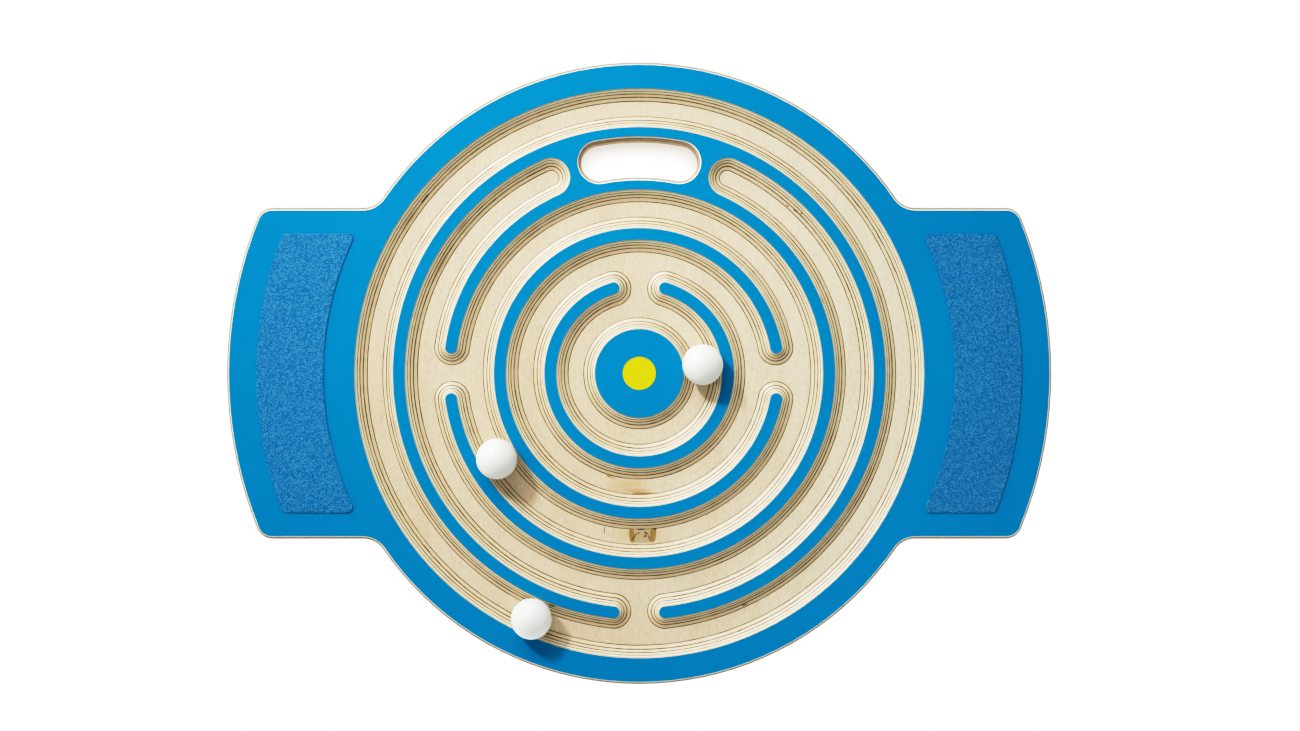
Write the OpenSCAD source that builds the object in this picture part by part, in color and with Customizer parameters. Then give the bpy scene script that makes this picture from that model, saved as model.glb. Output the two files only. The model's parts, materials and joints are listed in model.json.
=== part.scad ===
// Balance board with a milled ball maze. Millimetres, +Z up, origin on the floor under the rocker foot.
// The upper veneers and the laminate are cut into separate islands by the tracks, so each island is a node.

/* [Maze] */
// Diameter of the round island in the middle
island_d = 71; // [50:1:90]
// Width of every ball track, between the top edges of its walls
track_w = 31.4; // [28:0.2:36]
// Width of the top of every wall
wall_w = 9.2; // [7:0.2:14]
// Clear width of the gate in each wall
gate_w = 32.4; // [28:0.2:40]
// Radius of the cove along the foot of the walls
cove_r = 24; // [20:0.5:30]
// How far the cove circle would dip below the track floor
cove_dip = 1.25; // [0.8:0.05:2]
// Angle of the gate in the inner wall
gate_1_a = 90; // [0:1:359]
// Angle of the gate in the middle wall
gate_2_a = 0; // [0:1:359]
// Angle of the gate in the outer double wall, on its inner side
gate_3_a = 180; // [150:1:210]
// Angle of the gate in the outer double wall, on its outer side
gate_4_a = 270; // [220:1:320]

/* [Board] */
// Thickness of one veneer
ply_t = 1.4; // [1.2:0.05:1.6]
// Veneers left standing as walls above the track floor
wall_plies = 4; // [3:1:5]
// Veneers under the track floor
base_plies = 9; // [7:2:11]
// Thickness of the blue laminate
laminate_t = 0.6; // [0.4:0.1:1.2]
// Width of the round rim outside the last track
rim_w = 21.5; // [16:0.1:30]
// Reach of each wing beyond the round rim
wing_reach = 81.8; // [70:0.1:110]
// Width of the wings, front to back
wing_w = 267.2; // [220:0.2:300]
// Plan radius of the outer wing corners
wing_corner_r = 14.4; // [8:0.2:24]
// Plan radius of the hollow corner between wing and rim
wing_hollow_r = 19.2; // [12:0.1:30]
// Bare wooden chamfer along the edges of the panel
edge_cut = 2.8; // [0.8:0.1:3.2]

/* [Hand hole] */
// Length of the hand hole at the laminate
hole_l = 100; // [84:1:116]
// Width of the hand hole at the laminate
hole_w = 35.6; // [30:0.2:40]
// Land between the hand hole and the blind ends of the fourth track
hole_land = 7.4; // [5:0.1:12]

/* [Grip pads] */
// Thickness of the grip pads
pad_t = 1; // [0.6:0.1:3]
// Blue border between the last track and a pad
pad_in_border = 24.3; // [10:0.1:40]
// Blue border between a pad and the end of the wing
pad_out_border = 22; // [10:0.1:40]
// Blue border between a pad and the sides of the wing
pad_side_border = 18.4; // [8:0.1:40]
// Plan radius of the corners of the pads
pad_corner_r = 4.5; // [2:0.5:10]

/* [Badge] */
// Diameter of the badge let into the middle of the laminate
badge_d = 26.8; // [16:0.2:40]
// Thickness of the badge, less than the laminate so that it lies sunk
badge_t = 0.4; // [0.2:0.05:0.6]
// Clearance around the badge
badge_gap = 0.15; // [0.05:0.05:0.5]

/* [Balls] */
// Diameter of the balls
ball_d = 32.5; // [24:0.5:38]
// Clearance under a ball, so that it can run along its track
ball_lift = 0.3; // [0.2:0.05:0.6]
// Place of the inner ball along the first track
ball_1_a = 7.7; // [-180:0.1:180]
// Place of the middle ball along the third track
ball_2_a = -149; // [-180:0.1:180]
// Place of the outer ball along the fifth track
ball_3_a = -113.7; // [-180:0.1:180]

/* [Rocker foot] */
// Height from the floor to the underside of the panel
foot_h = 58; // [50:1:75]
// Diameter of the foot where it meets the panel
foot_d = 176; // [160:1:190]
// Radius of the rocking dome
dome_r = 100; // [96:1:140]
// Diameter of the flat that the board comes to rest on
rest_d = 44; // [30:1:60]
// Diameter of the rubber tread
tread_d = 72; // [64:1:90]
// Height of the tread where it is let into the dome
tread_t = 8; // [7:0.5:12]
// Clearance around the tread
tread_gap = 0.2; // [0.1:0.05:0.5]
// Chamfer along the top edge of the foot
foot_cut = 2.5; // [1:0.5:4]

/* [Screws] */
// Circle that the foot screws stand on
screw_circle_d = 143; // [130:1:146]
// Shank diameter of the foot screws
screw_d = 5; // [4:0.5:6]
// Head diameter of the foot screws
screw_head_d = 10; // [8:0.5:11]
// Head height of the foot screws
screw_head_h = 3.2; // [2.4:0.2:4]
// Wood of the foot left under each screw head
screw_grip = 14; // [12:0.5:18]
// Depth that the screws reach into the panel
screw_bite = 10; // [7:0.5:11]
// Clearance around the shanks in the foot
screw_gap = 0.3; // [0.2:0.05:0.6]
// Clearance around the screws in the panel
bite_gap = 0.05; // [0.02:0.01:0.2]
// Clearance past the tips of the screws
tip_gap = 0.3; // [0.2:0.05:0.6]
// Clearance around the heads in the counterbores
bore_gap = 1; // [0.6:0.1:2]

/* [Hidden] */
$fn = 96;
// How far cutters run past the faces they open
over = 1;
// Rounds that would meet a wall at a bare tangent are this much larger, so that they cross it instead
lap = 0.05;
// Small step that keeps the ends of two cutters apart
step = 0.2;
// Derived values are kept to hundredths, so that faces shared by two pieces agree exactly
function tidy(v) = round(v * 100) / 100;

island_r = island_d / 2;
pitch = track_w + wall_w;
wall_1_r = island_r + track_w;
wall_2_r = wall_1_r + pitch;
wall_3_r = wall_2_r + pitch;
wall_4_r = wall_3_r + pitch;
pocket_r = wall_4_r + pitch;
disc_r = pocket_r + rim_w;
wing_r = disc_r + wing_reach;
wing_half = wing_w / 2;

under_z = foot_h;
floor_z = under_z + base_plies * ply_t;
ply_z = floor_z + wall_plies * ply_t;
top_z = ply_z + laminate_t;

cove_z = floor_z + cove_r - cove_dip;
cove_u = tidy(sqrt(cove_r * cove_r - (cove_z - top_z) * (cove_z - top_z)));

cove_reach = cove_u - sqrt(cove_r * cove_r - (cove_r - cove_dip) * (cove_r - cove_dip)) + 2 * over;

hole_r = wall_3_r + wall_w + track_w / 2;
hole_half = hole_w / 2;
hole_cap_a = asin((hole_l / 2 - hole_half) / hole_r);
hole_end_a = hole_cap_a + 2 * asin(hole_half / 2 / hole_r);
blind_end_a = hole_end_a + hole_land / hole_r * 180 / PI;
blind_cap_a = blind_end_a + 2 * asin(track_w / 4 / hole_r);

dome_z = sqrt(dome_r * dome_r - rest_d * rest_d / 4);
seat_z = under_z - screw_grip;

ball_z = floor_z + ball_lift + ball_d / 2;
ball_1_r = island_r + track_w / 2;
ball_2_r = wall_2_r + wall_w + track_w / 2;
ball_3_r = wall_4_r + wall_w + track_w / 2;

BIRCH = [0.90, 0.82, 0.66];
BLUE = [0.02, 0.42, 0.72];
GRIP = [0.10, 0.40, 0.66];
BEECH = [0.80, 0.60, 0.40];
YELLOW = [0.95, 0.85, 0.05];
WHITE = [0.95, 0.94, 0.90];
RUBBER = [0.12, 0.12, 0.13];
STEEL = [0.70, 0.71, 0.72];

SCREW_ANGLES = [45, 135, 225, 315];

// Half section of the panel out to radius r, with a chamfer on its upper and its lower edge.
module edge_profile(r, z0, z1, top_cut, low_cut) {
  polygon([
    [0, z0], [r - low_cut, z0], [r, z0 + low_cut],
    [r, z1 - top_cut], [r - top_cut, z1], [0, z1]
  ]);
}

// What is trimmed off a wing corner: a wedge around the sharp corner, less the round that stays.
module corner_trim(r, x, y, a, z0, z1, top_cut, low_cut) {
  far = r + 5 * over;
  difference() {
    translate([x, y, z0 - over])
      linear_extrude(z1 - z0 + 2 * over)
        polygon([[0, 0], [far * cos(a), far * sin(a)], [2 * far, far], [0, far]]);
    translate([x, y, 0])
      rotate_extrude()
        edge_profile(r, z0, z1, top_cut, low_cut);
  }
}

// The hollow corner between rim and wing: a wedge of panel less a round that is countersunk at the chamfers.
module hollow_corner(r, x, y, z0, z1, top_cut, low_cut) {
  difference() {
    translate([0, 0, z0])
      linear_extrude(z1 - z0)
        polygon([[0, 0], [x, 0], [x, y]]);
    translate([x, y, 0])
      rotate_extrude()
        polygon([
          [0, z0 - over], [r + (low_cut > 0 ? low_cut + over : 0), z0 - over], [r, z0 + low_cut],
          [r, z1 - top_cut], [r + (top_cut > 0 ? top_cut + over : 0), z1 + over], [0, z1 + over]
        ]);
  }
}

// The outline of the panel, a round with two wings, drawn in by inset and raised from z0 to z1.
module board(inset, z0, z1, top_cut, low_cut) {
  r = disc_r - inset;
  end_r = wing_r - inset;
  half = wing_half - inset;
  corner_r = wing_corner_r - inset;
  hollow_r = wing_hollow_r + inset;
  corner_y = half - corner_r + lap;
  corner_at = end_r - corner_r + lap;
  corner_x = sqrt(corner_at * corner_at - corner_y * corner_y);
  hollow_y = half + hollow_r - lap;
  hollow_at = r + hollow_r - lap;
  hollow_x = sqrt(hollow_at * hollow_at - hollow_y * hollow_y);
  rotate_extrude()
    edge_profile(r, z0, z1, top_cut, low_cut);
  difference() {
    intersection() {
      rotate_extrude()
        edge_profile(end_r, z0, z1, top_cut, low_cut);
      union() {
        for (flip = [0, 1])
          mirror([0, flip, 0])
            translate([-end_r - over, 0, 0])
              rotate([90, 0, 90])
                linear_extrude(2 * end_r + 2 * over)
                  edge_profile(half, z0, z1, top_cut, low_cut);
      }
    }
    for (side = [0, 1])
      for (flip = [0, 1])
        mirror([side, 0, 0])
          mirror([0, flip, 0])
            corner_trim(corner_r, corner_x, corner_y, asin(corner_y / corner_at), z0, z1, top_cut, low_cut);
  }
  for (side = [0, 1])
    for (flip = [0, 1])
      mirror([side, 0, 0])
        mirror([0, flip, 0])
          hollow_corner(hollow_r, hollow_x, hollow_y, z0, z1, top_cut, low_cut);
}

// Section of a wall whose top runs from r0 to r1, with a cove down both sides.
module wall_profile(r0, r1, z0, z1) {
  difference() {
    translate([r0 - cove_u, z0])
      square([r1 - r0 + 2 * cove_u, z1 - z0]);
    translate([r0 - cove_u, cove_z])
      circle(cove_r);
    translate([r1 + cove_u, cove_z])
      circle(cove_r);
  }
}

// Half section of a round island whose top has radius r, with a cove down its side.
module island_profile(r, z0, z1) {
  difference() {
    translate([0, z0])
      square([r + cove_u, z1 - z0]);
    translate([r + cove_u, cove_z])
      circle(cove_r);
  }
}

// Half section of a round pocket whose top edge has radius r.
module pocket_profile(r, z0, z1) {
  intersection() {
    translate([0, z0])
      square([r + cove_u, z1 - z0]);
    union() {
      translate([r - cove_u, cove_z])
        circle(cove_r);
      if (r > cove_u) {
        translate([0, z0])
          square([r - cove_u, z1 - z0]);
      }
    }
  }
}

// A wedge of height z0 to z1 that opens half_a to both sides of +X and covers the radii from r0 to r1.
module wedge(half_a, r0, r1, z0, z1) {
  x0 = r0 * cos(half_a);
  slope = tan(half_a);
  translate([0, 0, z0])
    linear_extrude(z1 - z0)
      polygon([[x0, -x0 * slope], [r1, -r1 * slope], [r1, r1 * slope], [x0, x0 * slope]]);
}

// Cutter for the gate in a ring wall: a wedge that leaves the round tips of the wall standing.
module gate_cut(r0, gate_a, z0, z1) {
  half_a = asin((gate_w + wall_w) / 2 / (r0 + wall_w / 2));
  rotate([0, 0, gate_a])
    difference() {
      wedge(half_a, r0 - cove_reach, r0 + wall_w + cove_reach, z0 - step, z1 + step);
      for (flip = [0, 1])
        mirror([0, flip, 0])
          rotate([0, 0, half_a])
            translate([r0 + wall_w / 2, 0, 0])
              rotate([0, 0, 90])
                rotate_extrude()
                  island_profile(wall_w / 2 + lap, z0 - 2 * step, z1 + 2 * step);
    }
}

// A ring wall with one gate.
module gated_ring(r0, gate_a, z0, z1) {
  difference() {
    rotate([0, 0, gate_a + 180])
      rotate_extrude()
        wall_profile(r0, r0 + wall_w, z0, z1);
    gate_cut(r0, gate_a, z0, z1);
  }
}

// Cutter for the fourth track, which stops in a round end on both sides of the land around the hand hole.
module blind_track_cut(z0, z1) {
  difference() {
    rotate_extrude()
      difference() {
        translate([wall_3_r + wall_w / 2, z0 - step])
          square([pitch, z1 - z0 + 2 * step]);
        wall_profile(wall_3_r, wall_3_r + wall_w, z0 - 2 * step, z1 + 2 * step);
        wall_profile(wall_4_r, wall_4_r + wall_w, z0 - 2 * step, z1 + 2 * step);
      }
    rotate([0, 0, 90])
      difference() {
        wedge(blind_cap_a, wall_3_r / 2, 2 * wall_4_r, z0 - 2 * step, z1 + 2 * step);
        for (flip = [0, 1])
          mirror([0, flip, 0])
            rotate([0, 0, blind_cap_a])
              translate([hole_r, 0, 0])
                rotate([0, 0, 90])
                  rotate_extrude()
                    pocket_profile(track_w / 2 + lap, z0 - 3 * step, z1 + 3 * step);
      }
  }
}

// The outer double wall: two gated rings that join in the land around the hand hole.
module double_wall(z0, z1) {
  difference() {
    rotate_extrude()
      wall_profile(wall_3_r, wall_4_r + wall_w, z0, z1);
    blind_track_cut(z0, z1);
    gate_cut(wall_3_r, gate_3_a, z0, z1);
    gate_cut(wall_4_r, gate_4_a, z0, z1);
  }
}

// Section of the hand hole cutter, opened out at 45 degrees below or above where a chamfer is asked for.
module hole_profile(half, z0, z1, low_cut, top_cut) {
  low = low_cut > 0 ? low_cut + over : 0;
  top = top_cut > 0 ? top_cut + over : 0;
  polygon([
    [0, z0 - over], [half + low, z0 - over], [half, z0 - over + low],
    [half, z1 + over - top], [half + top, z1 + over], [0, z1 + over]
  ]);
}

// Cutter for the hand hole: a curved slot with round ends.
module hole_cut(half, z0, z1, low_cut, top_cut) {
  rotate([0, 0, 90 - hole_cap_a])
    rotate_extrude(angle = 2 * hole_cap_a)
      translate([hole_r, 0])
        for (flip = [0, 1])
          mirror([flip, 0])
            hole_profile(half, z0, z1, low_cut, top_cut);
  for (end = [-1, 1])
    rotate([0, 0, 90 + end * hole_cap_a])
      translate([hole_r, 0, 0])
        rotate([0, 0, end * 90])
          rotate_extrude()
            hole_profile(half + lap, z0, z1, low_cut, top_cut);
}

module base_panel() {
  color(BIRCH)
    difference() {
      board(0, under_z, floor_z, 0, edge_cut);
      hole_cut(hole_half - edge_cut, under_z, floor_z, edge_cut, 0);
      for (a = SCREW_ANGLES)
        rotate([0, 0, a])
          translate([screw_circle_d / 2, 0, under_z - over])
            cylinder(h = over + screw_bite + tip_gap, d = screw_d + 2 * bite_gap);
    }
}

module rim_frame() {
  color(BIRCH)
    difference() {
      board(0, floor_z, ply_z, edge_cut, 0);
      rotate_extrude()
        pocket_profile(pocket_r, floor_z - step, ply_z + step);
    }
}

module outer_wall() {
  color(BIRCH)
    difference() {
      double_wall(floor_z, ply_z);
      hole_cut(hole_half - edge_cut, floor_z, ply_z, 0, edge_cut);
    }
}

module middle_wall() {
  color(BIRCH)
    gated_ring(wall_2_r, gate_2_a, floor_z, ply_z);
}

module inner_wall() {
  color(BIRCH)
    gated_ring(wall_1_r, gate_1_a, floor_z, ply_z);
}

module centre_island() {
  color(BIRCH)
    rotate_extrude()
      island_profile(island_r, floor_z, ply_z);
}

module rim_laminate() {
  color(BLUE)
    difference() {
      board(edge_cut, ply_z, top_z, 0, 0);
      rotate_extrude()
        pocket_profile(pocket_r, ply_z - step, top_z + step);
    }
}

module outer_wall_laminate() {
  color(BLUE)
    difference() {
      double_wall(ply_z, top_z);
      hole_cut(hole_half, ply_z, top_z, 0, 0);
    }
}

module middle_wall_laminate() {
  color(BLUE)
    gated_ring(wall_2_r, gate_2_a, ply_z, top_z);
}

module inner_wall_laminate() {
  color(BLUE)
    gated_ring(wall_1_r, gate_1_a, ply_z, top_z);
}

module island_laminate() {
  color(BLUE)
    difference() {
      rotate_extrude()
        island_profile(island_r, ply_z, top_z);
      translate([0, 0, ply_z - over])
        cylinder(h = laminate_t + 2 * over, d = badge_d + 2 * badge_gap);
    }
}

// What is trimmed off a pad corner, where its side meets an arc of radius r about the middle of the board:
// a wedge around the sharp corner, less the round that stays. turn is 1 on the inner arc, -1 on the outer.
module pad_corner_trim(r, half, turn) {
  corner_y = half - pad_corner_r;
  corner_at = r + turn * pad_corner_r;
  corner_x = sqrt(corner_at * corner_at - corner_y * corner_y);
  up = [0, 3 * pad_corner_r];
  away = -turn * 3 * pad_corner_r / corner_at * [corner_x, corner_y];
  translate([corner_x, corner_y])
    difference() {
      polygon([[0, 0], up, up + away, away]);
      circle(pad_corner_r + lap);
    }
}

// A grip pad on the right wing: a piece of a ring, cut square at its sides and rounded at its corners.
module grip_pad() {
  in_r = pocket_r + pad_in_border;
  out_r = wing_r - edge_cut - pad_out_border;
  half = wing_half - edge_cut - pad_side_border;
  color(GRIP)
    translate([0, 0, top_z])
      linear_extrude(pad_t)
        difference() {
          intersection() {
            circle(out_r);
            translate([0, -half])
              square([out_r + over, 2 * half]);
          }
          circle(in_r);
          for (flip = [0, 1])
            mirror([0, flip]) {
              pad_corner_trim(in_r, half, 1);
              pad_corner_trim(out_r, half, -1);
            }
        }
}

module right_grip_pad() {
  grip_pad();
}

module left_grip_pad() {
  rotate([0, 0, 180])
    grip_pad();
}

module centre_badge() {
  color(YELLOW)
    translate([0, 0, ply_z])
      cylinder(h = badge_t, d = badge_d);
}

module ball(r, a) {
  color(WHITE)
    rotate([0, 0, a])
      translate([r, 0, ball_z])
        sphere(d = ball_d);
}

module inner_ball() {
  ball(ball_1_r, ball_1_a);
}

module middle_ball() {
  ball(ball_2_r, ball_2_a);
}

module outer_ball() {
  ball(ball_3_r, ball_3_a);
}

// Half section of the rocking dome between two heights, out to radius r.
module dome_profile(r, z0, z1) {
  intersection() {
    translate([0, z0])
      square([r, z1 - z0]);
    translate([0, dome_z])
      circle(dome_r);
  }
}

module rocker_foot() {
  color(BEECH)
    difference() {
      rotate_extrude()
        difference() {
          dome_profile(foot_d / 2, over, under_z);
          translate([foot_d / 2, under_z])
            rotate(45)
              square(foot_cut * sqrt(2), center = true);
          square([tread_d / 2 + tread_gap, tread_t]);
        }
      for (a = SCREW_ANGLES)
        rotate([0, 0, a])
          translate([screw_circle_d / 2, 0, 0]) {
            cylinder(h = under_z + over, d = screw_d + 2 * screw_gap);
            cylinder(h = seat_z, d = screw_head_d + 2 * bore_gap);
          }
    }
}

module foot_tread() {
  color(RUBBER)
    rotate_extrude()
      dome_profile(tread_d / 2, 0, tread_t);
}

// A pan-head screw with a cross recess, driven up through the foot into the panel.
module foot_screw(a) {
  tip_h = screw_d / 2;
  tip_d = screw_d / 5;
  shank_h = screw_grip + screw_bite - tip_h;
  rim_h = screw_head_h / 2;
  crown_d = screw_head_d * 2 / 3;
  slot_l = screw_head_d / 2;
  slot_w = screw_head_d / 8;
  slot_depth = screw_head_h * 0.6;
  color(STEEL)
    rotate([0, 0, a])
      translate([screw_circle_d / 2, 0, seat_z])
        difference() {
          union() {
            cylinder(h = shank_h, d = screw_d);
            translate([0, 0, shank_h])
              cylinder(h = tip_h, d1 = screw_d, d2 = tip_d);
            translate([0, 0, -rim_h])
              cylinder(h = rim_h, d = screw_head_d);
            translate([0, 0, -screw_head_h])
              cylinder(h = screw_head_h - rim_h, d1 = crown_d, d2 = screw_head_d);
          }
          for (turn = [0, 90])
            rotate([0, 0, turn])
              translate([-slot_l / 2, -slot_w / 2, -screw_head_h - over])
                cube([slot_l, slot_w, slot_depth + over]);
        }
}

module foot_screw_a() {
  foot_screw(SCREW_ANGLES[0]);
}

module foot_screw_b() {
  foot_screw(SCREW_ANGLES[1]);
}

module foot_screw_c() {
  foot_screw(SCREW_ANGLES[2]);
}

module foot_screw_d() {
  foot_screw(SCREW_ANGLES[3]);
}

base_panel();
rim_frame();
outer_wall();
middle_wall();
inner_wall();
centre_island();
rim_laminate();
outer_wall_laminate();
middle_wall_laminate();
inner_wall_laminate();
island_laminate();
left_grip_pad();
right_grip_pad();
centre_badge();
inner_ball();
middle_ball();
outer_ball();
rocker_foot();
foot_tread();
foot_screw_a();
foot_screw_b();
foot_screw_c();
foot_screw_d();
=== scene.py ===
"""Looks of a balance board with a milled ball maze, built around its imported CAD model. Metres, +Z up."""

import json
import math

import bpy
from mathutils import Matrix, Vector, noise


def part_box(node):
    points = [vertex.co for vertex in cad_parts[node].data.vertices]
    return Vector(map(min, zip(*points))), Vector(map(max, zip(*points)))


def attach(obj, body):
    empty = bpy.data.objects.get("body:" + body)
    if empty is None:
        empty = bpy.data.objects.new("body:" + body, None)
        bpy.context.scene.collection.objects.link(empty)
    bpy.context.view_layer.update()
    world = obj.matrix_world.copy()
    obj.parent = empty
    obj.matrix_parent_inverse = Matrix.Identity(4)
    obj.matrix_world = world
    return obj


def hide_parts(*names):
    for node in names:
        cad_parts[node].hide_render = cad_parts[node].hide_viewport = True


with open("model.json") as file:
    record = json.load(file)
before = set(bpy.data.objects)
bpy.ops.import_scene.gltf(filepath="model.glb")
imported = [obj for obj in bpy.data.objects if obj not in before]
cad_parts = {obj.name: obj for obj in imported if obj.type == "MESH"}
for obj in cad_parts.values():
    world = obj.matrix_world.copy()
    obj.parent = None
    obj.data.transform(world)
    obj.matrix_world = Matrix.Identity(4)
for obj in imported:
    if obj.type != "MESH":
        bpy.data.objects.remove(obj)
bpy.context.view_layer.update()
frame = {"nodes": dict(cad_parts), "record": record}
MM = 0.001


# Heights and veneers, read from the frame

UNDER_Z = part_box("base_panel")[0][2]
FLOOR_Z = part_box("base_panel")[1][2]
PLY_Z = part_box("rim_frame")[1][2]
TOP_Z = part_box("rim_laminate")[1][2]
PAD_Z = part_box("right_grip_pad")[1][2]
BASE_PLIES = 9
PLY_T = (FLOOR_Z - UNDER_Z) / BASE_PLIES
TOP_LAYER = round((PLY_Z - UNDER_Z) / PLY_T) - 1


# The photograph: image size, scale, where the middle of the board lies in it, and the camera

IMAGE_W = 1300
IMAGE_H = 731
MIDDLE_PX = (639.2, 373.3)
MM_PER_PX = 0.804
CAMERA_HEIGHT_PX = 1400
SENSOR_MM = 36


def photo_point(px, py):
    """The place on the board, in metres, that a pixel of the photograph shows."""
    return ((px - MIDDLE_PX[0]) * MM_PER_PX * MM, (MIDDLE_PX[1] - py) * MM_PER_PX * MM)


# Materials

# Sockets of a Mix node by number, because its colours and its plain numbers share their names
MIX_FACTOR = 0
MIX_NUMBERS = (2, 3)
MIX_COLOURS = (6, 7)
NUMBER_OUT = 0
COLOUR_OUT = 2
# A noise seldom leaves this span
NOISE_SPAN = (0.3, 0.7)


def colour(value):
    return value if isinstance(value, bpy.types.NodeSocket) else (*value, 1.0)


class Shader:
    """A node material. Most methods add nodes and return the last one's output socket."""

    def __init__(self, name, **constants):
        self.material = bpy.data.materials.new(name)
        self.material.use_nodes = True
        self.tree = self.material.node_tree
        self.surface = self.tree.nodes["Principled BSDF"]
        for socket, value in constants.items():
            self.surface.inputs[socket.replace("_", " ")].default_value = value

    def add(self, kind, output, inputs, **settings):
        made = self.tree.nodes.new(kind)
        for key, value in settings.items():
            setattr(made, key, value)
        for key, value in inputs.items():
            if isinstance(value, bpy.types.NodeSocket):
                self.tree.links.new(value, made.inputs[key])
            else:
                made.inputs[key].default_value = value
        return made.outputs[output]

    def math(self, operation, a, b=0.0, c=0.0):
        return self.add("ShaderNodeMath", 0, {0: a, 1: b, 2: c}, operation=operation)

    def times(self, first, *others):
        for other in others:
            first = self.math("MULTIPLY", first, other)
        return first

    def minus(self, a, b):
        return self.math("SUBTRACT", a, b)

    def place(self):
        return self.add("ShaderNodeTexCoord", "Object", {})

    def split(self, vector):
        made = self.tree.nodes.new("ShaderNodeSeparateXYZ")
        self.tree.links.new(vector, made.inputs[0])
        return made.outputs[0], made.outputs[1], made.outputs[2]

    def join(self, x, y, z):
        return self.add("ShaderNodeCombineXYZ", 0, {0: x, 1: y, 2: z})

    def normal(self):
        return self.split(self.add("ShaderNodeNewGeometry", "Normal", {}))

    def noise(self, vector, scale, detail=2.0, roughness=0.5):
        inputs = {"Vector": vector, "Scale": scale, "Detail": detail, "Roughness": roughness}
        return self.add("ShaderNodeTexNoise", "Fac", inputs)

    def grain(self, along, across, depth, stretch, **settings):
        """A noise that is drawn out along the grain of the wood."""
        return self.noise(self.join(self.times(along, stretch), across, depth), **settings)

    def step(self, value, low, high):
        """0 below low, 1 above high, smooth between them; low may be the larger of the two."""
        inputs = {"Value": value, "From Min": low, "From Max": high}
        return self.add("ShaderNodeMapRange", 0, inputs, interpolation_type="SMOOTHSTEP")

    def range(self, value, low, high, to_low, to_high):
        inputs = {"Value": value, "From Min": low, "From Max": high, "To Min": to_low, "To Max": to_high}
        return self.add("ShaderNodeMapRange", 0, inputs)

    def gloss(self, value, low, high):
        """A roughness between low and high that follows a noise."""
        return self.range(value, *NOISE_SPAN, low, high)

    def mix(self, factor, a, b, blend="MIX"):
        inputs = {MIX_COLOURS[0]: colour(a), MIX_COLOURS[1]: colour(b), MIX_FACTOR: factor}
        return self.add("ShaderNodeMix", COLOUR_OUT, inputs, data_type="RGBA", blend_type=blend)

    def lerp(self, factor, a, b):
        inputs = {MIX_FACTOR: factor, MIX_NUMBERS[0]: a, MIX_NUMBERS[1]: b}
        return self.add("ShaderNodeMix", NUMBER_OUT, inputs, data_type="FLOAT")

    def tint(self, base, value, span, most, tone):
        """The base colour with a tone in it: none at the start of a span of values, most at its end."""
        return self.mix(self.range(value, *span, 0.0, most), base, tone)

    def bump(self, height, distance, strength):
        inputs = {"Height": height, "Distance": distance, "Strength": strength}
        return self.add("ShaderNodeBump", "Normal", inputs)

    def set(self, **sockets):
        for socket, value in sockets.items():
            self.tree.links.new(value, self.surface.inputs[socket.replace("_", " ")])


# Marks in the veneers. A group has a colour, a strength and the share of a mark's size from which it fades;
# a mark has a pixel of the photograph, a half length and half width in mm, and a turn in degrees
MARKS = [
    # brown streaks in the walls
    ((0.27, 0.17, 0.06), 0.5, 0.0, [
        ((409, 218), (15.0, 3.0), 56),
        ((440, 265), (17.0, 3.0), 62),
        ((462, 226), (10.0, 2.5), 49),
    ]),
    # wide faint stains
    ((0.60, 0.43, 0.27), 0.8, 0.0, [
        ((627, 486), (25.0, 8.0), 8),
        ((641, 536), (33.0, 8.5), 0),
    ]),
    # brown stains
    ((0.52, 0.34, 0.17), 0.9, 0.1, [
        ((637, 491.5), (15.0, 3.0), 0),
        ((612, 478), (5.0, 1.6), -20),
        ((822, 300), (2.6, 6.0), 30),
    ]),
    # a patch let into the veneer
    ((0.45, 0.36, 0.235), 0.95, 0.85, [
        ((642.5, 536.5), (11.0, 6.3), 0),
    ]),
    # the ends of the patch, and cores of stains
    ((0.34, 0.225, 0.08), 1.0, 0.7, [
        ((631.7, 536.5), (6.4, 2.4), 96),
        ((653.0, 536.0), (6.6, 2.8), 83),
        ((608.5, 476), (2.0, 1.4), -20),
        ((643.0, 494.0), (9.5, 0.8), 0),
    ]),
    # dark knots and specks
    ((0.05, 0.032, 0.015), 0.9, 0.5, [
        ((641, 530.2), (3.6, 0.7), 0),
        ((646, 534), (1.8, 1.0), -35),
        ((645.5, 537), (1.6, 0.9), 25),
        ((634, 538), (4.6, 0.6), 55),
        ((649, 538.5), (2.6, 0.5), 100),
        ((638.5, 534), (1.2, 0.6), 60),
        ((655, 529.8), (1.6, 0.8), 0),
        ((424, 198), (6.0, 0.9), 52),
        ((796, 210), (2.2, 0.7), -35),
        ((788, 205), (1.6, 0.6), -35),
        ((802, 213), (1.2, 0.6), -35),
        ((604, 531), (3.4, 0.5), 90),
        ((552, 606), (3.2, 1.0), -18),
        ((745, 606), (3.0, 0.8), 20),
        ((740, 632), (1.6, 0.5), 40),
    ]),
]


def patch(shader, xy, centre, size, turn, soft):
    """1 inside a rounded oblong on the plan of the board, 0 outside; it fades from a share of its size on."""
    dx = shader.minus(xy[0], centre[0])
    dy = shader.minus(xy[1], centre[1])
    cosine = math.cos(turn)
    sine = math.sin(turn)
    total = 0.0
    for half, c, d in ((size[0], cosine, sine), (size[1], -sine, cosine)):
        way = shader.math("MULTIPLY_ADD", dx, c / half, shader.times(dy, d / half))
        square = shader.times(way, way)
        total = shader.math("MULTIPLY_ADD", square, square, total)
    return shader.step(shader.math("POWER", total, 1 / 4), 1.0, soft)


def marked(shader, xy, spots, soft):
    """1 on any of the marks, 0 beside them."""
    total = 0.0
    for px, size, turn in spots:
        spot = patch(shader, xy, photo_point(*px), [v * MM for v in size], math.radians(turn), soft)
        total = shader.math("MAXIMUM", spot, total)
    return total


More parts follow.
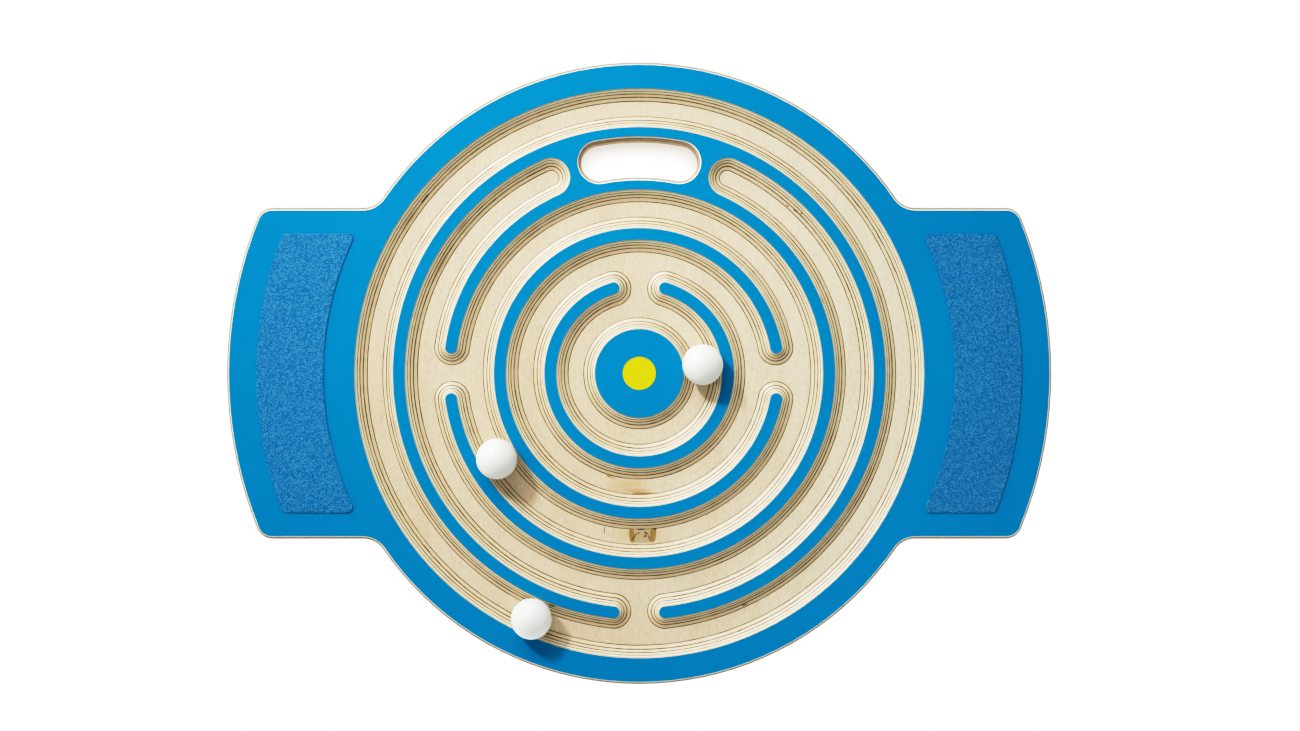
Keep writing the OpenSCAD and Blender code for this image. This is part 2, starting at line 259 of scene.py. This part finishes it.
BIRCH = {
    "pale": (0.75, 0.612, 0.446),
    "deep": (0.71, 0.567, 0.402),
    "fibre": (0.55, 0.41, 0.25),
    "pore": (0.52, 0.40, 0.25),
    "cloud": (0.76, 0.66, 0.51),
    "cut": (0.66, 0.54, 0.36),
    "end_grain": (0.56, 0.42, 0.245),
    "upright": (0.56, 0.435, 0.265),
    "upper": (0.75, 0.68, 0.50),
    "edge_dark": (0.30, 0.24, 0.155),
    "edge_pale": (0.61, 0.565, 0.465),
    "hole_dark": (0.50, 0.385, 0.26),
    "hole_pale_painted_light": (0.90, 0.85, 0.75),
    "hole_wall_painted_shade": (0.38, 0.27, 0.12),
    "glue": (0.06, 0.039, 0.015),
}
# Painted light: the wood's colour is multiplied by this at a distance to the right of the middle, and less
# nearer to it, to make up for the lamps' light falling off towards the right
PAINTED_LIGHT_RIGHT = (1.08, 1.17, 1.23)
PAINTED_LIGHT_REACH = 220 * MM
# How far the grain's pattern moves from one veneer to the next
LAYER_SHIFT = 0.37
# Spans of flatness, which is 1 on a level face and 0 on an upright one, over which a look sets in
CUT_FACE = (0.992, 0.97)
UPRIGHT_FACE = (0.4, 0.2)
CHAMFER_FROM = (0.6, 0.65)
CHAMFER_TO = (0.8, 0.75)
# Everything beyond this distance from the middle is the outline of the board, not a track
RIM_R = 235 * MM
# The hand hole with its chamfer: radius of its curved middle line, half width, half length
HOLE_R = 173 * MM
HOLE_HALF_W = 18.6 * MM
HOLE_HALF_L = 51 * MM
# Over this length the looks of the outline and the hand hole set in
FADE = 1 * MM
# Glue lines: how far their middle lies above the joint, and half their height as a share of a veneer,
# first on an upright face, then on a nearly level one
GLUE_RISE = 0.06 * MM
GLUE_HALF = (0.11, 0.175)
GLUE_LEVEL = 0.9


def birch_ply():
    """Cut veneers with crossed grain: a face shows the veneers that it runs through and their glue lines."""
    s = Shader("birch_ply", Roughness=0.45, Specular_IOR_Level=0.8)
    place = s.place()
    x, y, z = s.split(place)
    nx, ny, nz = s.normal()
    flatness = s.math("ABSOLUTE", nz)
    slanted = s.step(flatness, *CUT_FACE)
    upright = s.step(flatness, *UPRIGHT_FACE)
    level = s.math("DIVIDE", s.minus(z, UNDER_Z + GLUE_RISE), PLY_T)
    layer = s.math("MAXIMUM", s.math("FLOOR", level), 0.0)
    crossed = s.math("MODULO", s.math("ADD", layer, 1.0), 2.0)

    # Grain
    depth = s.math("MULTIPLY_ADD", layer, LAYER_SHIFT, z)
    way = (s.lerp(crossed, x, y), s.lerp(crossed, y, x), depth)
    fibre = s.grain(*way, stretch=0.06, scale=420.0, detail=4.0, roughness=0.6)
    figure = s.grain(*way, stretch=0.16, scale=30.0, detail=3.0, roughness=0.55)
    pores = s.grain(*way, stretch=0.35, scale=900.0, detail=2.0, roughness=0.6)
    cloud = s.noise(s.join(x, y, depth), scale=9.0)
    wood = s.mix(s.step(figure, 0.35, 0.7), BIRCH["pale"], BIRCH["deep"])
    wood = s.tint(wood, fibre, (0.45, 0.75), 0.15, BIRCH["fibre"])
    wood = s.tint(wood, pores, (0.45, 0.75), 0.60, BIRCH["pore"])
    wood = s.tint(wood, cloud, (0.40, 0.75), 0.25, BIRCH["cloud"])
    # Painted light: paler, bluer wood towards the right, where the lamps give less light
    wood = s.mix(s.range(x, 0.0, PAINTED_LIGHT_REACH, 0.0, 1.0), wood, PAINTED_LIGHT_RIGHT, "MULTIPLY")

    # Cut faces
    wood = s.mix(s.times(slanted, 0.6), wood, BIRCH["cut"])
    ends = s.lerp(crossed, s.times(nx, nx), s.times(ny, ny))
    wood = s.mix(s.times(ends, 0.35, slanted), wood, BIRCH["end_grain"])
    wood = s.mix(s.times(upright, s.lerp(ends, 0.75, 0.95)), wood, BIRCH["upright"])
    upper = s.times(s.step(level, TOP_LAYER - 1.0, TOP_LAYER + 0.05), slanted)
    wood = s.mix(s.times(upper, s.minus(1.0, upright)), wood, BIRCH["upper"])

    # Chamfers of the outline and the hand hole
    far = s.math("SQRT", s.math("ADD", s.times(x, x), s.times(y, y)))
    outline = s.step(far, RIM_R, RIM_R + FADE)
    in_hole = s.times(
        s.step(s.math("ABSOLUTE", s.minus(far, HOLE_R)), HOLE_HALF_W + FADE, HOLE_HALF_W),
        s.step(y, 0.0, FADE),
        s.step(s.math("ABSOLUTE", x), HOLE_HALF_L + FADE, HOLE_HALF_L),
    )
    chamfer = s.times(
        s.step(flatness, *CHAMFER_FROM),
        s.step(flatness, *CHAMFER_TO),
        s.math("MAXIMUM", outline, in_hole),
    )
    edge_wood = s.mix(crossed, BIRCH["edge_dark"], BIRCH["edge_pale"])
    # Painted light: the hand hole's chamfer takes paler veneer colours than the outline's, though much of it
    # faces away from the lamps
    hole_wood_painted_light = s.mix(crossed, BIRCH["hole_dark"], BIRCH["hole_pale_painted_light"])
    wood = s.mix(chamfer, wood, s.mix(in_hole, edge_wood, hole_wood_painted_light))
    # Painted shade: the upright walls of the hand hole get a darker brown than other upright faces
    wood = s.mix(s.times(upright, in_hole), wood, BIRCH["hole_wall_painted_shade"])

    # Glue lines
    part = s.math("FRACT", level)
    to_joint = s.math("MINIMUM", part, s.minus(1.0, part))
    waver = s.range(s.noise(place, scale=160.0), *NOISE_SPAN, 0.8, 1.2)
    half = s.times(waver, s.range(flatness, 0.0, GLUE_LEVEL, *GLUE_HALF))
    worn = s.range(s.noise(place, scale=55.0), 0.3, 0.6, 0.75, 1.0)
    glue = s.times(s.step(to_joint, half, s.times(half, 0.5)), slanted, worn)
    wood = s.mix(glue, wood, BIRCH["glue"])

    # Marks, on the floor of the tracks and everything above it
    above = s.step(z, FLOOR_Z - 0.9 * PLY_T, FLOOR_Z - 0.6 * PLY_T)
    streaks = s.range(fibre, *NOISE_SPAN, 0.8, 1.0)
    for stain, strength, soft, spots in MARKS:
        amount = s.times(marked(s, (x, y), spots, soft), streaks, above, strength)
        wood = s.mix(amount, wood, stain)

    height = s.minus(s.times(fibre, 0.6), s.times(glue, 0.8))
    s.set(
        Base_Color=wood,
        Roughness=s.gloss(fibre, 0.42, 0.52),
        Normal=s.bump(height, 0.10 * MM, 0.4),
    )
    return s.material


LAMINATE = {
    "deep": (0.0, 0.262, 0.455),
    "pale": (0.0, 0.275, 0.475),
    "grain": (0.0, 0.235, 0.425),
    "worn": (0.03, 0.30, 0.50),
    "core": (0.55, 0.48, 0.36),
}


def blue_laminate():
    """Satin sheet with a tan core that shows along its cut edge."""
    s = Shader("blue_laminate", Roughness=0.32, Specular_IOR_Level=0.15)
    place = s.place()
    haze = s.noise(place, scale=7.0, detail=3.0)
    grain = s.noise(place, scale=900.0, detail=3.0)
    wear = s.step(s.noise(place, scale=120.0, detail=5.0, roughness=0.7), 0.70, 0.78)
    cut = s.step(s.normal()[2], 0.9, 0.75)
    face = s.tint(LAMINATE["deep"], haze, (0.35, 0.7), 1.0, LAMINATE["pale"])
    face = s.tint(face, grain, (0.45, 0.7), 0.25, LAMINATE["grain"])
    face = s.mix(s.times(wear, 0.10), face, LAMINATE["worn"])
    s.set(
        Base_Color=s.mix(cut, face, LAMINATE["core"]),
        Roughness=s.gloss(haze, 0.27, 0.34),
        Normal=s.bump(grain, 0.02 * MM, 0.4),
    )
    return s.material


# The hollow colour is painted shade and the speck colour painted glints; the top colour is the pebbles' lit
# tops
GRIP = {
    "hollow": (0.012, 0.195, 0.375),
    "top": (0.115, 0.33, 0.505),
    "painted_glint_speck": (0.22, 0.42, 0.58),
}
# How far the hollows between the pebbles lie below their tops
GRAIN_DEPTH = 0.45 * MM


def blue_grip():
    """Pebbled sheet; the hollows between the pebbles are painted darker than their tops as painted shade, and
    its light specks are painted glints.
    """
    s = Shader("blue_grip", Roughness=0.5, Specular_IOR_Level=0.3)
    place = s.place()
    height = s.range(s.split(place)[2], PAD_Z - GRAIN_DEPTH, PAD_Z, 0.0, 1.0)
    painted_glint_speck = s.noise(place, scale=1900.0)
    # Painted shade: the colour darkens with depth between the pebbles
    base = s.mix(s.step(height, 0.0, 0.9), GRIP["hollow"], GRIP["top"])
    s.set(
        # Painted glints: light specks scattered over the sheet
        Base_Color=s.tint(base, painted_glint_speck, (0.55, 0.8), 0.5, GRIP["painted_glint_speck"]),
        Roughness=s.gloss(painted_glint_speck, 0.42, 0.62),
        Normal=s.bump(painted_glint_speck, 0.06 * MM, 0.6),
    )
    return s.material


BADGE = {"deep": (0.66, 0.575, 0.015), "pale": (0.70, 0.605, 0.02)}


def yellow_badge():
    s = Shader("yellow_badge", Roughness=0.3, Specular_IOR_Level=0.3)
    haze = s.noise(s.place(), scale=160.0, detail=3.0)
    s.set(
        Base_Color=s.mix(haze, BADGE["deep"], BADGE["pale"]),
        Roughness=s.gloss(haze, 0.26, 0.38),
    )
    return s.material


BALL = {"deep": (0.82, 0.815, 0.755), "pale": (0.86, 0.855, 0.80), "scuff": (0.62, 0.58, 0.50)}


def white_ball():
    s = Shader("white_ball", Roughness=0.4, Specular_IOR_Level=0.5)
    place = s.place()
    haze = s.noise(place, scale=60.0, detail=4.0)
    scuffs = s.step(s.noise(place, scale=260.0, detail=5.0, roughness=0.7), 0.68, 0.76)
    white = s.mix(haze, BALL["deep"], BALL["pale"])
    s.set(
        Base_Color=s.mix(s.times(scuffs, 0.12), white, BALL["scuff"]),
        Roughness=s.gloss(haze, 0.36, 0.48),
        Normal=s.bump(haze, 0.05 * MM, 0.5),
    )
    return s.material


BEECH = {"pale": (0.58, 0.37, 0.20), "deep": (0.46, 0.26, 0.125), "fleck": (0.27, 0.13, 0.055)}


def turned_beech():
    """Beech with short dark flecks along its grain."""
    s = Shader("turned_beech", Roughness=0.42, Specular_IOR_Level=0.4)
    way = s.split(s.place())
    figure = s.grain(*way, stretch=0.12, scale=55.0, detail=4.0, roughness=0.6)
    fleck = s.grain(*way, stretch=0.16, scale=700.0)
    wood = s.mix(s.step(figure, 0.32, 0.68), BEECH["pale"], BEECH["deep"])
    s.set(
        Base_Color=s.tint(wood, fleck, (0.58, 0.72), 0.55, BEECH["fleck"]),
        Roughness=s.gloss(figure, 0.36, 0.48),
        Normal=s.bump(fleck, 0.06 * MM, 0.4),
    )
    return s.material


RUBBER = {"deep": (0.012, 0.012, 0.013), "scuff": (0.055, 0.053, 0.05)}


def black_rubber():
    s = Shader("black_rubber", Roughness=0.75, Specular_IOR_Level=0.3)
    place = s.place()
    grain = s.noise(place, scale=900.0, detail=3.0)
    scuff = s.step(s.noise(place, scale=70.0, detail=5.0, roughness=0.7), 0.52, 0.72)
    s.set(
        Base_Color=s.mix(scuff, RUBBER["deep"], RUBBER["scuff"]),
        Roughness=s.range(scuff, 0.0, 1.0, 0.68, 0.86),
        Normal=s.bump(grain, 0.08 * MM, 0.5),
    )
    return s.material


STEEL = {"pale": (0.60, 0.60, 0.61), "deep": (0.45, 0.44, 0.42)}


def screw_steel():
    s = Shader("screw_steel", Metallic=1.0, Roughness=0.3)
    haze = s.noise(s.place(), scale=900.0, detail=4.0)
    s.set(
        Base_Color=s.mix(haze, STEEL["pale"], STEEL["deep"]),
        Roughness=s.gloss(haze, 0.25, 0.45),
    )
    return s.material


MAKERS = (
    birch_ply,
    blue_laminate,
    blue_grip,
    yellow_badge,
    white_ball,
    turned_beech,
    black_rubber,
    screw_steel,
)
MATERIALS = {maker.__name__: maker() for maker in MAKERS}
for sub in frame["record"]["subparts"]:
    piece = frame["nodes"][sub["node"]]
    piece.data.materials.clear()
    piece.data.materials.append(MATERIALS[sub["material_slot"]])


# Grip pads: a pebbled sheet with round corners and a rolled edge

PAD_CORNER = 4.5 * MM
PAD_MESH = 0.42 * MM
# Rolled edge: the distances in from the outline at which it has points, and the share of the height
# that is left at the outline
PAD_ROLL = [0.0, 0.04 * MM, 0.12 * MM, 0.3 * MM, 0.6 * MM]
PAD_EDGE_SHARE = 0.4
# Pebbles: their width; then, in widths, how far and how closely their places waver, and how wide their
# slopes are
PEBBLE = 1.4 * MM
PEBBLE_WAVER = 0.2
WAVER_SCALE = 0.7
PEBBLE_SLOPE = 0.5
# Without a seed, noise_vector gives other values each run
PEBBLE_SEED = 1
noise.seed_set(PEBBLE_SEED)


def pad_height(x, y, edge):
    """Height of a pad's top at a place on the board that lies a distance in from the pad's outline."""
    spot = Vector((x, y, 0)) / PEBBLE
    spot += PEBBLE_WAVER * noise.noise_vector(WAVER_SCALE * spot)
    near, second = noise.voronoi(spot)[0][:2]
    pebble = min(max((second - near) / PEBBLE_SLOPE, 0.0), 1.0)
    pebble = pebble * pebble * (3 - 2 * pebble)
    full = PAD_Z - TOP_Z - GRAIN_DEPTH * (1 - pebble)
    roll = 1 - min(edge / PAD_ROLL[-1], 1.0)
    return TOP_Z + full * (1 - (1 - PAD_EDGE_SHARE) * roll * roll)


def pad_steps(low, high, count):
    """Distances from low to high: close together at both ends, even between them."""
    inner = high - low - 2 * PAD_ROLL[-1]
    even = [low + PAD_ROLL[-1] + inner * i / count for i in range(1, count)]
    return [low + d for d in PAD_ROLL] + even + [high - d for d in reversed(PAD_ROLL)]


def pad_arc(y, half, r, turn):
    """Where a pad's arc, with its round corners, meets a row. turn is 1 on the inner arc, -1 on the outer."""
    mid_r = r + turn * PAD_CORNER
    mid_y = half - PAD_CORNER
    if abs(y) <= mid_y * r / mid_r:
        return math.sqrt(r ** 2 - y * y)
    rise = abs(y) - mid_y
    return math.sqrt(mid_r ** 2 - mid_y ** 2) - turn * math.sqrt(max(PAD_CORNER ** 2 - rise ** 2, 0.0))


def grip_pad(node):
    """A pad in the outline of its CAD node, which is a piece of a ring cut square at its sides."""
    corners = [v.co for v in frame["nodes"][node].data.vertices]
    in_r = min(math.hypot(v.x, v.y) for v in corners)
    out_r = max(math.hypot(v.x, v.y) for v in corners)
    half = max(v.y for v in corners)
    side = math.copysign(1, corners[0].x)
    columns = round((out_r - in_r) / PAD_MESH)

    # The top
    points = []
    rows = []
    for y in pad_steps(-half, half, round(2 * half / PAD_MESH)):
        end = half - abs(y)
        low = pad_arc(y, half, in_r, 1)
        high = pad_arc(y, half, out_r, -1)
        row = []
        for x in pad_steps(low, high, columns):
            edge = min(end, x - low, high - x)
            row.append(len(points))
            points.append((side * x, y, pad_height(side * x, y, edge)))
        rows.append(row)
    faces = [
        (a[i], a[i + 1], b[i + 1], b[i])
        for a, b in zip(rows, rows[1:])
        for i in range(len(a) - 1)
    ]

    # The sides and the underside
    outline = rows[0] + [r[-1] for r in rows[1:-1]] + rows[-1][::-1] + [r[0] for r in rows[-2:0:-1]]
    foot = []
    for i in outline:
        foot.append(len(points))
        points.append((points[i][0], points[i][1], TOP_Z))
    for i in range(len(outline)):
        j = (i + 1) % len(outline)
        faces.append((outline[j], outline[i], foot[i], foot[j]))
    faces.append(tuple(reversed(foot)))
    if side < 0:
        faces = [tuple(reversed(f)) for f in faces]

    mesh = bpy.data.meshes.new(node + "_pebbled")
    mesh.from_pydata(points, [], faces)
    mesh.shade_smooth()
    mesh.materials.append(MATERIALS["blue_grip"])
    pad = bpy.data.objects.new(node + "_pebbled", mesh)
    bpy.context.scene.collection.objects.link(pad)
    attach(pad, "board")
    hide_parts(node)


for node in ("left_grip_pad", "right_grip_pad"):
    grip_pad(node)


# Tones of the picture, floor, lights and camera

# The camera's tone curve: light in the scene and light in the picture
TONES = [
    (0.0, 0.0),
    (0.07, 0.02),
    (0.16, 0.11),
    (0.28, 0.30),
    (0.42, 0.55),
    (0.65, 0.78),
    (1.1, 0.95),
    (1.6, 1.0),
]
BRIGHTEST = TONES[-1][0]
COMBINED_CURVE = 3
view = bpy.context.scene.view_settings
view.view_transform = "Standard"
view.use_curve_mapping = True
view.curve_mapping.white_level = [BRIGHTEST] * 3
for light, shown in TONES[1:-1]:
    view.curve_mapping.curves[COMBINED_CURVE].points.new(light / BRIGHTEST, shown)
view.curve_mapping.update()

FLOOR_SIZE = 60
PAPER = {"deep": (0.92, 0.92, 0.92), "pale": (0.94, 0.94, 0.94)}
bpy.ops.mesh.primitive_plane_add(size=FLOOR_SIZE)
floor = bpy.context.object
floor.name = "floor"
paper = Shader("floor_paper", Roughness=0.9, Specular_IOR_Level=0.2, Emission_Strength=0.15)
haze = paper.noise(paper.place(), scale=1.5)
paper.set(Base_Color=paper.mix(haze, PAPER["deep"], PAPER["pale"]))
floor.data.materials.append(paper.material)


def receivers(name, state):
    """A list of what a light falls on: the floor alone, or all but the floor."""
    made = bpy.data.collections.new(name)
    made.objects.link(floor)
    made.collection_objects[0].light_linking.link_state = state
    return made


FLOOR_ALONE = receivers("floor_alone", "INCLUDE")
ALL_BUT_FLOOR = receivers("all_but_floor", "EXCLUDE")

# A light straight from above, which only the floor receives
OVERHEAD_STRENGTH = 3.6
OVERHEAD_ANGLE = 18
overhead = bpy.data.objects.new("overhead", bpy.data.lights.new("overhead", "SUN"))
overhead.data.energy = OVERHEAD_STRENGTH
overhead.data.angle = math.radians(OVERHEAD_ANGLE)
overhead.light_linking.receiver_collection = FLOOR_ALONE
bpy.context.scene.collection.objects.link(overhead)


def area_light(name, azimuth, elevation, distance, size, watts, cone=180, aim=(0, 0)):
    """A square light aimed at a place on the board from a direction in degrees; it leaves the floor out."""
    data = bpy.data.lights.new(name, "AREA")
    data.size = size
    data.energy = watts
    data.spread = math.radians(cone)
    light = bpy.data.objects.new(name, data)
    a = math.radians(azimuth)
    e = math.radians(elevation)
    way = Vector((math.cos(a) * math.cos(e), math.sin(a) * math.cos(e), math.sin(e)))
    light.location = Vector((*aim, TOP_Z)) + way * distance
    light.rotation_euler = way.to_track_quat("Z", "Y").to_euler()
    light.light_linking.receiver_collection = ALL_BUT_FLOOR
    bpy.context.scene.collection.objects.link(light)


# The key throws the shadows; its narrow cone lets the light fall off over the board
KEY_AIM = (-0.02, 0.05)
area_light("key", azimuth=130, elevation=40, distance=2.5, size=0.3, watts=1.45, cone=35.5, aim=KEY_AIM)
area_light("top_soft", azimuth=105, elevation=35, distance=2.0, size=1.2, watts=11.5)
area_light("low_soft", azimuth=165, elevation=12, distance=3.0, size=0.8, watts=12)

# A studio sky that is brighter at the horizon than overhead
SKY_HORIZON = 0.74
SKY_ZENITH = 0.26
SKY_COLOUR = (1.0, 1.03, 1.03)
world = bpy.data.worlds.new("studio")
world.use_nodes = True
nodes = world.node_tree.nodes
links = world.node_tree.links
sky_way = nodes.new("ShaderNodeTexCoord")
sky_xyz = nodes.new("ShaderNodeSeparateXYZ")
sky_shade = nodes.new("ShaderNodeMapRange")
sky_shade.inputs["To Min"].default_value = SKY_HORIZON
sky_shade.inputs["To Max"].default_value = SKY_ZENITH
links.new(sky_way.outputs["Generated"], sky_xyz.inputs[0])
links.new(sky_xyz.outputs["Z"], sky_shade.inputs["Value"])
links.new(sky_shade.outputs[0], nodes["Background"].inputs["Strength"])
nodes["Background"].inputs["Color"].default_value = colour(SKY_COLOUR)
bpy.context.scene.world = world

camera_data = bpy.data.cameras.new("camera")
camera_data.sensor_width = SENSOR_MM
camera_data.lens = SENSOR_MM * CAMERA_HEIGHT_PX / IMAGE_W
camera = bpy.data.objects.new("camera", camera_data)
camera_x, camera_y = photo_point(IMAGE_W / 2, IMAGE_H / 2)
camera.location = (camera_x, camera_y, TOP_Z + CAMERA_HEIGHT_PX * MM_PER_PX * MM)
bpy.context.scene.collection.objects.link(camera)
bpy.context.scene.camera = camera
